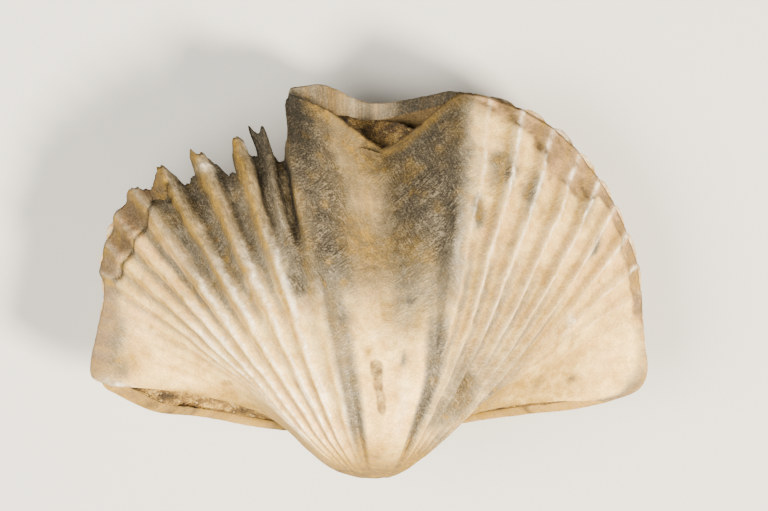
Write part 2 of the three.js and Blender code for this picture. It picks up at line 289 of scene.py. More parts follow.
def umbo_swing(u, v):
    """How far the umbo swells out to its side: a root of u that a power of 1 - u
    brings back to 0. On the left the lines beside the hinge go farther out than
    the ribs and make the smooth band outside them."""
    side = np.abs(v)
    rest, root = np.maximum(0, 1 - u), np.sqrt(u)
    turn = np.sin(np.pi / 2 * side ** 0.8)
    ribs = UMBO_LEFT * turn * root * rest ** 4
    left = mix(ribs, UMBO_BAND * root * rest ** 3, smooth(0.6, 1, side))
    return by_side(v, (left, UMBO_RIGHT * turn * root * rest ** 8))


def upper_skin(u, v):
    """Smooth surface of the upper valve: an arch along each line, lower towards
    the wings, on a rim that falls from the beak, less a trough in the middle."""
    side, sign = np.abs(v), np.sign(v)
    bend_x = (SHOULDER_SPREAD * smooth(0, 0.62, side) - HINGE_SPREAD * smooth(0.55, 1, side)
              + by_side(v, RIDGE_SPREAD) * bell(side, 0.2, 0.16))
    x, y = plan_point(u, v, BEAK_Y, sign * bend_x, BEND_Y)
    across = np.maximum(0, np.cos(np.pi / 2 * side)) ** (0.85 + 0.6 * side)
    rest = np.maximum(0, 1 - u)
    puff = BEAK_PUFF * np.sqrt(u) * rest ** 4 * (1 - side * side)
    trough = TROUGH_DEPTH * round_top(side / TROUGH_WIDTH) * smooth(0.3, 0.85, u)
    z = (BEAK_RISE * rest ** 1.2 + DOME_RISE * across * hump(u) ** 0.95
         + table(UPPER_RISE, side) * u * u + puff - trough)
    return np.stack(np.broadcast_arrays(x + sign * umbo_swing(u, v), y, SEAM + z), axis=-1)


def lower_skin(u, v):
    """Smooth surface of the lower valve: the same kind of arch turned down, with
    a fold in the middle whose lip stands forward, and hinge corners hung back."""
    side, sign = np.abs(v), np.sign(v)
    rest = np.maximum(0, 1 - u)
    nose = np.sqrt(u) * rest ** 4
    line_x = LOWER_SPREAD * smooth(0, 0.7, side) + 2.0 * bell(side, 0.25, 0.2)
    line_y = LOWER_BEND_Y - by_side(v, LOWER_HINGE) * smooth(0.55, 1, side)
    x, y = plan_point(u, v, LOWER_BEAK_Y, sign * line_x, line_y)
    across = np.maximum(0, np.cos(np.pi / 2 * side)) ** (0.8 + 0.5 * side)
    fold = (round_top(side / FOLD_WIDTH) * smooth(0.1, 0.7, u)
            * hump(np.minimum(u, 0.97)) ** 0.5)
    z = (0.9 * rest ** 2 + LOWER_ARCH * across * hump(u) ** 0.9
         - table(LOWER_RISE, side) * u * u + LOWER_PUFF * nose * (1 - side * side)
         + FOLD_HEIGHT * fold)
    lip = FOLD_LIP * bell(v, -0.09, 0.07) * u ** 6
    corner = by_side(v, LOWER_CORNER) * bell(u, 0.85, 0.14) * smooth(0.85, 1, side)
    return np.stack(np.broadcast_arrays(x + sign * side * 4 * nose, y + lip - corner, SEAM - z),
                    axis=-1)


def drawn_in(skin, plan, rise):
    """The same skin drawn in towards the middle of the shell by two factors."""
    def shape(u, v):
        p = skin(u, v)
        return np.stack([p[..., 0] * plan, p[..., 1] * plan, SEAM + (p[..., 2] - SEAM) * rise],
                        axis=-1)
    return shape


def normals(skin, u, v, outward):
    """Unit normals of a skin, from points a small step away along u and v."""
    step = 0.003
    along = skin(np.minimum(u + step, 1), v) - skin(np.maximum(u - step, 0.0005), v)
    across = skin(u, np.minimum(v + step, 1)) - skin(u, np.maximum(v - step, -1))
    n = np.cross(across, along)
    return outward * n / (np.linalg.norm(n, axis=-1, keepdims=True) + 1e-12)


def under_upper(depth, plan, rise):
    """The upper skin's inner side: moved in along its normals by a depth in
    millimetres, not below its own edge unless the skin itself comes that low, and
    near the beak, where it turns too tightly for that, drawn in by two factors."""
    near_beak = drawn_in(upper_skin, plan, rise)

    def shape(u, v):
        skin = upper_skin(u, v)
        inner = skin - depth * normals(upper_skin, u, v, 1)
        edge = SEAM + table(UPPER_RISE, np.abs(v)) * u * u
        lowest = np.minimum(edge - 0.1, skin[..., 2] - 0.6 * depth)
        inner[..., 2] = np.maximum(inner[..., 2], lowest)
        return mix(near_beak(u, v), inner, smooth(0.2, 0.45, u)[..., None])
    return shape


def tooth_lean(u, v):
    """The forked tooth's left prong leans to the left above its root."""
    return -0.008 * bell(v, -0.256, 0.006) * smooth(0.925, 0.95, u)


def break_zone(u, v):
    """1 where the left front is broken and weathered, falling to 0 around it."""
    return window(-0.56, -0.44, -0.21, -0.19, v) * smooth(0.6, 0.84, u)


def ribbed_area(u, v):
    """1 where the ribs show, falling to 0 at the beak and on the wings."""
    return (1 - smooth(0.62, 0.85, np.abs(v))) * smooth(0.03, 0.2, u)


def rib_wave(u, v, p):
    """Rib crests at 1 and grooves at -1. On the left and where it is broken the
    crests are narrow; on the right the grooves are narrow and next to the crest."""
    side = np.abs(v)
    n = rib_number(u, v) + 0.06 * noise(p, 4.0, 11) + 0.03 * noise(p, 1.3, 12)
    n = n + np.where(v > 0, 0.1 * np.sin(2 * np.pi * n), 0)
    single = 0.5 + 0.5 * np.cos(2 * np.pi * n)
    double = 0.5 + 0.5 * np.cos(4 * np.pi * (n + 0.04))
    split = np.where((n < 1) & (v < 0), 0.85 * smooth(0.62, 0.8, u), 0)
    cosine = mix(single, double, split)
    narrow = cosine ** 1.9
    wide = 1 - (1 - cosine) ** 1.8
    sharp = np.where(v < 0, 0.45 + 0.55 * break_zone(u, v), 0.25)
    wave = 2 * mix(wide, narrow, sharp) - 1
    flank = smooth(FIRST_RIB - 0.02, FIRST_RIB + 0.005, side)
    return mix(2 * bell(side, FIRST_RIB, 0.03) - 1, wave, flank), n, flank


# Soft spots on the upper valve: v, u, half width, half length, strength
GREY_SPOTS = [
    (-0.255, 0.645, 0.022, 0.035, 0.9), (0.075, 0.613, 0.022, 0.02, 1.0),
    (0.12, 0.665, 0.03, 0.025, 0.8), (0.245, 0.79, 0.014, 0.03, 0.9),
    (0.288, 0.885, 0.018, 0.025, 1.0), (0.355, 0.86, 0.013, 0.04, 0.7),
    (0.575, 0.895, 0.013, 0.022, 1.0), (0.2, 0.84, 0.02, 0.012, 0.8),
    (0.5, 0.93, 0.02, 0.02, 0.4), (-0.86, 0.955, 0.05, 0.03, 0.9),
    (-0.91, 0.93, 0.03, 0.02, 0.7), (0.06, 0.45, 0.012, 0.015, 0.5),
    (0.975, 0.98, 0.03, 0.02, 0.7), (-0.956, 0.944, 0.006, 0.005, 1.0),
    (-0.72, 0.965, 0.03, 0.02, 0.6), (-0.49, 0.93, 0.025, 0.012, 1.0),
    (0.12, 0.92, 0.05, 0.04, 0.7), (-0.135, 0.55, 0.02, 0.03, 0.7),
    (-0.17, 0.64, 0.03, 0.04, 0.6),
]
DARK_SPOTS = [
    (-0.47, 0.91, 0.012, 0.016, 1.0), (-0.398, 0.904, 0.012, 0.02, 0.8),
    (-0.35, 0.896, 0.014, 0.018, 0.9), (-0.268, 0.874, 0.012, 0.025, 0.8),
    (-0.17, 0.95, 0.02, 0.03, 0.6), (0.04, 0.905, 0.006, 0.02, 0.5),
]
OCHRE_SPOTS = [
    (0.035, 0.73, 0.035, 0.035, 0.9), (0.077, 0.703, 0.035, 0.03, 1.0),
    (0.117, 0.68, 0.03, 0.03, 0.8), (0.11, 0.56, 0.022, 0.035, 1.0),
    (0.0, 0.59, 0.012, 0.04, 0.8), (0.243, 0.555, 0.012, 0.02, 0.8),
    (-0.027, 0.82, 0.02, 0.05, 0.8), (-0.038, 0.75, 0.025, 0.04, 0.8),
    (-0.207, 0.7, 0.015, 0.03, 0.7), (0.05, 0.87, 0.03, 0.02, 0.6),
    (-0.888, 0.896, 0.035, 0.025, 1.0), (-0.54, 0.88, 0.018, 0.04, 0.9),
    (-0.607, 0.88, 0.014, 0.03, 0.8), (-0.48, 0.6, 0.02, 0.04, 0.6),
    (-0.54, 0.64, 0.02, 0.02, 0.6), (-0.62, 0.56, 0.05, 0.02, 0.6),
    (0.31, 0.66, 0.012, 0.012, 0.8), (0.385, 0.61, 0.012, 0.012, 0.7),
    (0.395, 0.85, 0.012, 0.012, 0.9), (0.31, 0.755, 0.006, 0.006, 0.9),
    (-0.2, 0.875, 0.012, 0.008, 0.9), (0.175, 0.93, 0.02, 0.02, 0.8),
    (0.6, 0.66, 0.06, 0.03, 0.5), (0.72, 0.72, 0.06, 0.03, 0.6),
    (0.86, 0.7, 0.06, 0.06, 0.9), (-0.35, 0.48, 0.03, 0.012, 0.5),
    (0.0, 0.04, 0.25, 0.045, 0.9), (-0.7, 0.66, 0.06, 0.02, 0.5),
    (-0.06, 0.22, 0.03, 0.06, 0.6), (-0.86, 0.86, 0.03, 0.02, 0.6),
]
BROWN_SPOTS = [
    (0.898, 0.69, 0.04, 0.02, 0.6), (0.918, 0.808, 0.012, 0.014, 0.9),
    (0.281, 0.98, 0.014, 0.016, 0.9), (0.327, 0.968, 0.008, 0.008, 0.9),
    (0.372, 0.934, 0.008, 0.006, 0.9), (0.387, 0.917, 0.008, 0.006, 0.8),
    (0.388, 0.988, 0.012, 0.01, 0.8), (0.435, 0.972, 0.008, 0.006, 0.7),
    (0.473, 0.955, 0.018, 0.012, 1.0), (0.46, 0.935, 0.02, 0.009, 0.9),
    (0.19, 0.064, 0.05, 0.012, 0.8), (-0.067, 0.116, 0.06, 0.012, 0.6),
    (0.4, 0.845, 0.006, 0.009, 0.8), (-0.32, 0.795, 0.005, 0.03, 0.6),
    (-0.53, 0.93, 0.03, 0.008, 0.7), (-0.62, 0.945, 0.03, 0.01, 0.6),
]
# Pale spots, most of them painted highlights where light glints on the beak's strip, the rib crests
# and the wing tip
WHITE_SPOTS = [
    (0.065, 0.3, 0.03, 0.1, 1.0), (-0.213, 0.33, 0.009, 0.1, 1.0),
    (-0.307, 0.36, 0.01, 0.09, 0.7), (-0.407, 0.36, 0.012, 0.09, 0.6),
    (0.205, 0.7, 0.008, 0.1, 0.6), (0.228, 0.8, 0.01, 0.13, 0.3),
    (-0.98, 0.97, 0.03, 0.03, 0.8), (0.7, 0.755, 0.03, 0.02, 0.6),
    (-0.367, 0.91, 0.014, 0.007, 0.9), (-0.193, 0.838, 0.01, 0.008, 1.0),
    (-0.183, 0.874, 0.014, 0.004, 1.0), (-0.03, 0.51, 0.03, 0.012, 0.5),
]


def scar(u, v):
    """A worm scar on the beak's strip, 0 to 1: two round-ended strokes end to end,
    the one nearer the beak farther to the right."""
    middle = np.interp(u, [0.29, 0.34, 0.376, 0.45], [-0.028, -0.03, -0.043, -0.046])
    half = np.interp(u, [0.278, 0.29, 0.31, 0.34, 0.366, 0.4, 0.43, 0.45, 0.462],
                     [-0.01, 0.015, 0.022, 0.022, 0.018, 0.019, 0.026, 0.022, -0.01])
    return 1 - smooth(-0.003, 0.008, np.abs(v - middle) - half)


def crack(u, v):
    """An open crack down the left edge of the middle lobe, 0 to 1; the marks also paint it dark, as
    shade in the crack.
    """
    path = np.interp(u, [0.76, 0.81, 0.86, 0.9], [-0.217, -0.215, -0.21, -0.214])
    return bell(v, path, 0.0075) * smooth(0.7, 0.78, u)


def flake_line(v):
    """Where the ribbed outer layer ends at the right front: place u for each v."""
    return np.interp(v, [0.17, 0.2, 0.262, 0.29, 0.321, 0.35, 0.373, 0.4, 0.443, 0.473, 0.497,
                         0.515, 0.628, 0.714, 0.8, 0.86],
                     [1.02, 0.99, 0.976, 0.974, 0.966, 0.945, 0.933, 0.925, 0.925, 0.932, 0.95,
                      0.975, 0.976, 0.966, 0.975, 1.02])


def bead_line(v):
    """Where the lumpy brown margin begins on the left: place u for each v."""
    return np.interp(v, [-0.76, -0.7, -0.6, -0.52, -0.5, -0.487, -0.472, -0.44, -0.425],
                     [1.02, 0.955, 0.935, 0.93, 0.945, 0.958, 0.938, 0.935, 1.0])


def on_each_rib(n, place, wide):
    """Bell curve at a place from each rib's crest, in parts of the way to the next."""
    return bell((n - place + 0.5) % 1 - 0.5, 0, wide)


# A thin cover of something dark on pale shell hardly shows, so these masks are
# raised to a power under 1
COVER = {"worn": 0.6, "ochre": 0.7, "tan": 0.6}


def covering(marks):
    """The masks cut to 0 to 1, those in COVER raised to their power."""
    return {name: np.clip(mask, 0, 1) ** COVER.get(name, 1) for name, mask in marks.items()}


def upper_marks(u, v, p):
    """Masks from 0 to 1 over the upper valve, by the name that its material reads, then the rib
    wave, and 1 past the flaked edge, which the relief is made of. Some masks paint light and shade:
    on both flanks a rib is ochre where it faces left, away from the key light, as painted shade
    over its stain, and pearly pale where it faces right, as a painted highlight."""
    side = np.abs(v)
    drift = noise(p, 2.8, 60)
    jitter_u = u + 0.01 * drift + 0.008 * noise(p, 1.3, 61) + 0.005 * noise(p, 0.5, 62)
    jitter_v = v + 0.012 * drift + 0.009 * noise(p, 1.3, 63) + 0.004 * noise(p, 0.5, 64)
    wave, n, flank = rib_wave(u, v, p)
    ribbed = ribbed_area(u, v) * flank
    groove = smooth(0.0, 0.9, -wave) * ribbed
    broken = break_zone(jitter_u, jitter_v)
    cloud = rough(p, 3.2, 21)
    fleck = rough(p, 0.9, 22)
    ragged_n = n + 0.06 * fleck

    trough_right = window(-0.03, 0.05, 0.175, 0.235, jitter_v) * smooth(0.48, 0.76, jitter_u)
    trough_left = window(-0.3, -0.23, -0.1, -0.05, jitter_v) * smooth(0.55, 0.74, jitter_u)
    trough_mid = (1 - smooth(0.04, 0.1, np.abs(jitter_v + 0.03))) * smooth(0.55, 0.7, u)
    furrow = (1 - smooth(0.02, 0.055, np.abs(side - furrow_place(u, v)))) * smooth(0.05, 0.12, u)
    furrow_left = furrow * (v < 0) * (1 - smooth(0.7, 0.8, u))
    furrow_right = furrow * (v > 0) * (1 - smooth(0.5, 0.62, u))
    near_beak = smooth(0.2, 0.4, jitter_v) * window(0.05, 0.14, 0.4, 0.65, u)
    left_grey = (smooth(0.25, 0.45, np.abs((ragged_n + 0.52) % 1 - 0.5)) * ribbed * (v < 0)
                 * mix(0.05, 0.85, smooth(0.55, 0.8, jitter_u))
                 * mix(1, 0.35, smooth(0.5, 0.64, side)))
    # Painted shade: grey in the right flank's grooves and on the side of each rib that faces left,
    # away from the key light
    right_grey = np.maximum(
        0.35 * on_each_rib(ragged_n, 0.47, 0.09) * (1 - smooth(0.62, 0.78, u)),
        0.15 * on_each_rib(ragged_n, -0.14, 0.16) * smooth(0.45, 0.6, u)
        * (1 - 0.6 * smooth(0.45, 0.6, v))) * ribbed * (v > 0)
    # Grey where the inner layer is worn through, and painted shade: grey in the furrows beside the
    # beak's strip, most in the right one, deeper in the broken zone's grooves, along the left
    # margin and at the beak tip; also greyer on the right flank near the beak
    worn = most(
        trough_right, trough_left, (0.5 + 0.3 * cloud) * trough_mid,
        mix(0.65, 0.45, smooth(0.2, 0.5, u)) * furrow_left, 0.95 * furrow_right,
        (0.4 + 0.4 * cloud) * near_beak, broken * mix(0.85, 1.0, smooth(0.6, -0.2, wave)),
        0.5 * smooth(0.93, 1.0, jitter_u) * smooth(-0.6, -0.75, v),
        0.6 * (1 - smooth(0.02, 0.07, u)), left_grey, right_grey,
        spots(jitter_u, jitter_v, GREY_SPOTS))
    worn = np.clip(worn * (1 + 0.3 * cloud) + 0.3 * fleck * worn * (1.2 - worn), 0, 1)

    bead = smooth(-0.004, 0.008, u - bead_line(v)) * (v < -0.42)
    # Painted shade: darker in the broken zone's grooves than on its crests, dark in the crack, and
    # a dark line under the step of the lumpy margin
    dark = most(
        broken * mix(0.6, 0.85, smooth(0.4, -0.6, wave)) * smooth(0.76, 0.97, u)
        * (0.8 + 0.5 * cloud) * (1 - bead), 0.45 * bead,
        crack(u, v), 0.85 * trough_left * smooth(0.8, 0.96, u) * smooth(-0.1, -0.17, jitter_v),
        0.9 * bell(u, bead_line(v) - 0.006, 0.006) * smooth(-0.74, -0.7, v) * (v < -0.43),
        0.35 * trough_right * smooth(0.68, 0.9, u), spots(jitter_u, jitter_v, DARK_SPOTS))
    hinge_ochre = np.where(
        v < 0, smooth(0.08, -0.08, u - 0.3 - 2.0 * (side - 0.72)) * smooth(0.5, 0.72, side),
        smooth(0.76, 0.88, side) * window(0.35, 0.5, 0.78, 0.92, u))
    # Ochre stains; and, on the side of each rib that faces left, away from the key light, ochre as
    # painted shade
    ochre = most(
        on_each_rib(ragged_n, mix(0.2, 0.08, smooth(0.4, 0.7, u)), 0.13) * ribbed * (v < 0)
        * smooth(0.12, 0.35, u) * smooth(0.19, 0.24, side) * (0.75 + 0.6 * cloud),
        0.8 * on_each_rib(ragged_n, -0.34, 0.1) * ribbed * (v > 0) * smooth(0.4, 0.55, u)
        * (0.75 + 0.5 * cloud),
        spots(jitter_u, jitter_v, OCHRE_SPOTS) * (0.85 + 0.5 * fleck),
        broken * on_each_rib(ragged_n, 0.04, 0.18) * (v < 0),
        0.35 * smooth(0.0, 0.7, cloud) * smooth(0.2, 0.6, side),
        hinge_ochre * (1 + 0.4 * cloud),
        0.9 * (1 - smooth(0.1, 0.24, jitter_u)) * smooth(0.9, 0.5, side),
        0.4 * on_each_rib(ragged_n, 0.1, 0.14) * smooth(0.58, 0.7, side) * smooth(0.3, 0.45, u)
        * (0.8 + 0.5 * cloud), 0.9 * smooth(0.75, 1.0, fleck + 0.4 * cloud),
        0.4 * trough_mid * (0.9 + 0.6 * cloud), 0.2 * smooth(0.0, 0.8, fleck))
    ochre = ochre * (1 - 0.4 * groove) * (1 - 0.7 * np.maximum(trough_left, trough_right))
    notch_rim = (bell(jitter_u, table(BROKEN_EDGE, v) - 0.004, 0.014)
                 * window(-0.16, -0.1, 0.16, 0.22, v))
    ochre = np.maximum(ochre, 0.75 * notch_rim)
    # Painted highlight: pale on the side of each rib that faces right, towards the key light, and
    # in the pale spots; it also marks smooth pearly calcite, which the material makes glossier
    pearl = np.maximum(
        on_each_rib(ragged_n, np.where(v < 0, -0.12, 0.2), 0.09) * ribbed * (0.8 + 0.4 * fleck)
        * smooth(0.1, 0.3, u) * (1 - 0.85 * smooth(0.62, 0.8, u) * (v < 0)),
        spots(jitter_u, jitter_v, WHITE_SPOTS))
    pearl = pearl * (1 - most(
        0.9 * furrow_left, 0.9 * furrow_right, trough_left, trough_right, near_beak,
        0.7 * smooth(0.27, 0.22, side)))

    line = flake_line(v)
    past_line = smooth(-0.003, 0.006, u - line + 0.004 * noise(p, 0.8, 65))
    seam_mud = (bell(jitter_u, line + 0.004, 0.012) * window(0.19, 0.25, 0.38, 0.41, v)
                + 0.8 * bell(jitter_u, line, 0.005) * window(0.4, 0.42, 0.8, 0.86, v))
    notch_mud = bell(u, table(BROKEN_EDGE, v), 0.01) * window(-0.12, 0.0, 0.18, 0.26, v)
    # Brown in the seams, the notch, the scar, the spots and past the flaked line; browner at the
    # beak tip, as painted shade
    brown = most(
        seam_mud * (0.75 + 0.5 * fleck), notch_mud * (0.8 + 0.5 * fleck),
        spots(jitter_u, jitter_v, BROWN_SPOTS), 0.8 * scar(u, v), 0.5 * (1 - smooth(0.05, 0.13, u)),
        0.8 * smooth(0.94, 0.985, u) * window(0.22, 0.28, 0.29, 0.34, v) * smooth(-0.2, 0.4, fleck),
        0.5 * past_line * smooth(0.2, 0.26, v) * smooth(-0.1, 0.6, rough(p, 1.2, 67)))
    blush = np.maximum(past_line * smooth(0.18, 0.24, v), bead)
    # Tan on the flaked margin and the lumps; and, as painted shade where the shell turns away from
    # the light, darker towards the left and right margins and at the beak tip
    tan = most(
        past_line * window(0.22, 0.28, 0.86, 0.92, v) * mix(0.45, 0.9, smooth(0.5, 0.6, v)),
        bead * (0.8 + 0.5 * rough(p, 1.6, 66)), 0.9 * (1 - smooth(0.03, 0.13, jitter_u)),
        0.85 * smooth(0.93, 1.0, jitter_u) * smooth(-0.5, -0.75, v),
        0.6 * smooth(0.96, 1.0, jitter_u) * smooth(0.5, 0.7, v),
        0.5 * smooth(0.7, 0.86, side) * (1 - smooth(0.3, 0.6, u)))
    marks = {"worn": worn, "dark": dark, "ochre": ochre, "pearl": pearl, "brown": brown,
             "blush": blush, "tan": tan}
    return covering(marks), wave, past_line


def upper_relief(u, v, p):
    """Height over the smooth skin: ribs that widen and rise towards the edge,
    furrows beside the beak's strip, growth steps, the scar, the crack, the step at
    the flaked margin, lumps on the left margin, and a grain on the worn areas."""
    side = np.abs(v)
    marks, wave, past_line = upper_marks(u, v, p)
    worn = marks["worn"]
    furrow = (-FURROW_DEPTH * bell(side, furrow_place(u, v), 0.026)
              * window(0.03, 0.2, 0.55, 0.95, u))
    grow = smooth(0, 0.22, u) * mix(0.55, 1.1, u)
    fade = mix(1, 0.12, smooth(0.58, 0.84, side)) * smooth(0.12, 0.19, side)
    flank = by_side(v, (mix(0.55, 0.85, smooth(0.5, 0.75, u)), mix(0.65, 0.4, smooth(0.7, 1, u))))
    broken = BROKEN_RELIEF * break_zone(u, v)
    height = furrow + wave * (RIB_RELIEF * grow * fade * flank + broken)
    height = height * (1 + 0.22 * noise(p, 2.0, 31)) * (1 - 0.75 * past_line * (v > 0))
    height = height + 0.08 * rough(p, 2.6, 41)
    growth = np.sin(2 * np.pi * (u * 46 + 1.6 * rough(p, 3.0, 42, 2)))
    height = height + 0.006 * growth * smooth(0.1, 0.3, u) * smooth(0.0, 0.6, noise(p, 3.5, 43))
    height = height + mix(0.012, 0.06, worn) * noise(p, 0.42, 51) + 0.04 * worn * noise(p, 0.9, 52)
    height = height - 0.1 * scar(u, v) - 0.35 * crack(u, v)
    flaked = past_line * smooth(0.2, 0.26, v)
    height = height - 0.16 * flaked + 0.1 * marks["brown"] * noise(p, 0.35, 53)
    beads = (v < -0.42) * smooth(-0.004, 0.01, u - bead_line(v))
    height = height + beads * (0.18 + 0.3 * rough(p, 1.5, 54))
    hollow = bell(u, bead_line(v) - 0.004, 0.007) * smooth(-0.74, -0.7, v) * (v < -0.44)
    return height - 0.25 * hollow


def lower_marks(u, v, p):
    """Masks over the lower valve, which the photograph shows only at its rims,
    then the rib wave."""
    side = np.abs(v)
    wave, _, flank = rib_wave(u, v, p)
    ribbed = ribbed_area(u, v)
    cloud, fleck = rough(p, 3.2, 71), rough(p, 0.9, 72)
    # Greyer towards the bottom, near the surface the valve lies on
    under = smooth(3.5, 1.0, p[..., 2])
    lip = smooth(0.85, 0.95, u) * (1 - smooth(0.24, 0.3, side))
    marks = {
        "worn": 0.45 * smooth(0.1, 0.9, wave) * ribbed * (u < 0.97) + 0.4 * smooth(0.2, 1.0, cloud)
        + 0.3 * under + 0.5 * lip * (0.9 + 0.5 * fleck),
        # The lip is darker at both ends, under the arms of the notch, most on the right: painted
        # shade
        "dark": 0.4 * smooth(0.6, 1.0, wave) * ribbed * (u < 0.95)
        + lip * np.maximum(0.75 * smooth(0.04, 0.08, v), 0.4 * smooth(-0.04, -0.1, v)),
        "ochre": 0.5 * smooth(0.1, 0.9, -cloud) * (1 - lip) + 0.3 * smooth(0.2, 0.8, fleck)
        + 0.8 * smooth(0.82, 0.94, side),
        "pearl": 0.4 * smooth(-0.4, -0.9, wave) * ribbed * flank,
        "brown": 0.7 * smooth(0.75, 1.1, fleck + 0.4 * cloud)
        + 0.6 * smooth(-0.972, -0.985, v) * (0.8 + 0.6 * fleck),
        "blush": 0.3 * smooth(0.9, 0.98, u),
        "tan": 0.3 * smooth(0.8, 0.96, side) + 0.3 * smooth(0.0, 0.8, fleck),
    }
    return covering(marks), wave


def lower_relief(u, v, p):
    """Ribs that stand under the grooves of the upper valve, growth steps, grain."""
    side = np.abs(v)
    marks, wave = lower_marks(u, v, p)
    grow = smooth(0, 0.25, u) * mix(0.5, 1, u)
    fade = mix(1, 0.12, smooth(0.58, 0.86, side))
    height = -wave * 0.8 * RIB_RELIEF * grow * fade * smooth(0.12, 0.22, side)
    height = height * (1 + 0.2 * noise(p, 2.0, 81)) + 0.07 * rough(p, 2.4, 82)
    growth = np.sin(2 * np.pi * (u * 24 + 0.8 * noise(p, 3.0, 83)))
    return height + 0.01 * growth + mix(0.015, 0.06, marks["worn"]) * noise(p, 0.45, 84)


def zip_rims(top_rim, top_marks, bottom_rim, bottom_marks):
    """Triangles between two closed rims. Each step goes on along the rim whose
    next mark comes first, so both rims are walked once round side by side."""
    n, m = len(top_rim), len(bottom_rim)
    next_marks = np.concatenate([np.append(top_marks[1:], 3.0), np.append(bottom_marks[1:], 3.0)])
    order = np.argsort(next_marks, kind="stable")
    on_top = order < n
    i = np.cumsum(on_top) - on_top
    j = np.cumsum(~on_top) - ~on_top
    a, b = top_rim[i % n], bottom_rim[j % m]
    c = np.where(on_top, top_rim[(i + 1) % n], bottom_rim[(j + 1) % m])
    return np.stack([a, c, b], axis=1)


def spaced_lines(spacing):
    """Places from -1 to 1 whose spacing follows a table of place and spacing."""
    fine = np.linspace(-1, 1, 4001)
    count = np.concatenate([[0], np.cumsum(np.diff(fine) / table(spacing, fine)[1:])])
    return np.interp(np.linspace(0, count[-1], int(count[-1]) + 1), count, fine)


# An inner sheet ends a little short of the turned-in edge that it is joined to,
# so that no two points of their rims fall together.
SHORT = 0.995
INSIDE_LINES = np.linspace(-SHORT, SHORT, 71)
INSIDE_ROWS = 24
ROW_POWER = 1.05           # rows lie a little closer together near the beak


def reach_of(points):
    """A reach that follows a table."""
    return lambda along, v: table(points, v)


def short_of(reach):
    """A reach that ends just before the given one."""
    return lambda along, v: SHORT * reach(along, v)


def sheet(rows, lines, reach, shape, hem=None):
    """A sheet of points: one at the beak, then a row for each step of u. A hem is
    a second shape, its reach, a number of rows and a bulge in millimetres: past
    its edges the sheet turns round towards that shape in half a circle's rhythm."""
    columns = len(lines)
    along = np.arange(1, rows + 1)[:, None] / rows
    v = np.broadcast_to(lines[None, :], (rows, columns))
    u = along ** ROW_POWER * reach(along, v)
    points = shape(u, v)
    if hem:
        target, hem_reach, hem_rows, bulge = hem
        inner = target(along ** ROW_POWER * hem_reach(along, v), v)
        row = np.arange(rows + hem_rows)
        column = np.arange(-hem_rows, columns + hem_rows)
        past_row = np.maximum(0, row - (rows - 1)) / hem_rows
        past_column = np.maximum(0, np.maximum(-column, column - (columns - 1))) / hem_rows
        turn = np.maximum(past_row[:, None], past_column[None, :])[..., None]
        r = np.minimum(row, rows - 1)[:, None]
        c = np.clip(column, 0, columns - 1)[None, :]
        start, end = points[r, c], inner[r, c]
        lean = np.zeros_like(start)
        lean[rows - 1:] += (points[rows - 1] - points[rows - 2])[c[0]]
        for edge, past in ((0, -column), (columns - 1, column - (columns - 1))):
            step = points[:, edge] - points[:, 1 if edge == 0 else columns - 2]
            lean += (past >= 0)[None, :, None] * step[r[:, 0]][:, None]
        lean /= np.linalg.norm(lean, axis=-1, keepdims=True) + 1e-9
        gap = np.linalg.norm(end - start, axis=-1, keepdims=True)
        points = (start + (end - start) * (1 - np.cos(np.pi * turn)) / 2
                  + lean * np.minimum(0.35 * gap, bulge) * np.sin(np.pi * turn))
        u, v = u[r, c], v[r, c]
        rows, columns = points.shape[:2]
    index = 1 + np.arange(rows * columns).reshape(rows, columns)
    quads = np.stack([index[:-1, :-1], index[:-1, 1:], index[1:, 1:], index[1:, :-1]], axis=-1)
    fan = np.stack([np.zeros(columns - 1, int), index[0, 1:], index[0, :-1]], axis=-1)
    rim = np.concatenate([[0], index[:, 0], index[-1, 1:], index[-2::-1, -1]])
    marks = np.concatenate([[0], np.arange(1, rows + 1) / rows,
                            1 + np.arange(1, columns) / (columns - 1),
                            3 - np.arange(rows - 1, 0, -1) / rows])
    pole = shape(np.zeros(1) + 1e-6, np.zeros(1))
    return {"points": np.concatenate([pole, points.reshape(-1, 3)]), "quads": quads.reshape(-1, 4),
            "fan": fan, "rim": rim, "marks": marks,
            "u": np.append(0, u.reshape(-1)), "v": np.append(0, v.reshape(-1))}


SPAN_ACROSS = 45.0         # millimetres of edge for one unit of v
SPAN_ALONG = 36.0          # millimetres along a rib from beak to edge

# The shell is drawn with its seam over the origin of its own axes, and the CAD
# model has its box centred: this moves the one onto the other.
SHELL_PLACE = np.array([(cad_low.x + cad_high.x) / 2, cad_low.y - MM * BEAK_Y, cad_low.z])


def place_along_edge(v):
    """Points in millimetres in a row, for noise that runs along the edge."""
    return np.stack([v * SPAN_ACROSS, v * 0, v * 0], axis=-1)


def add_object(name, data):
    """An object in the scene that shows a mesh, a light or a camera."""
    thing = bpy.data.objects.new(name, data)
    bpy.context.collection.objects.link(thing)
    return thing


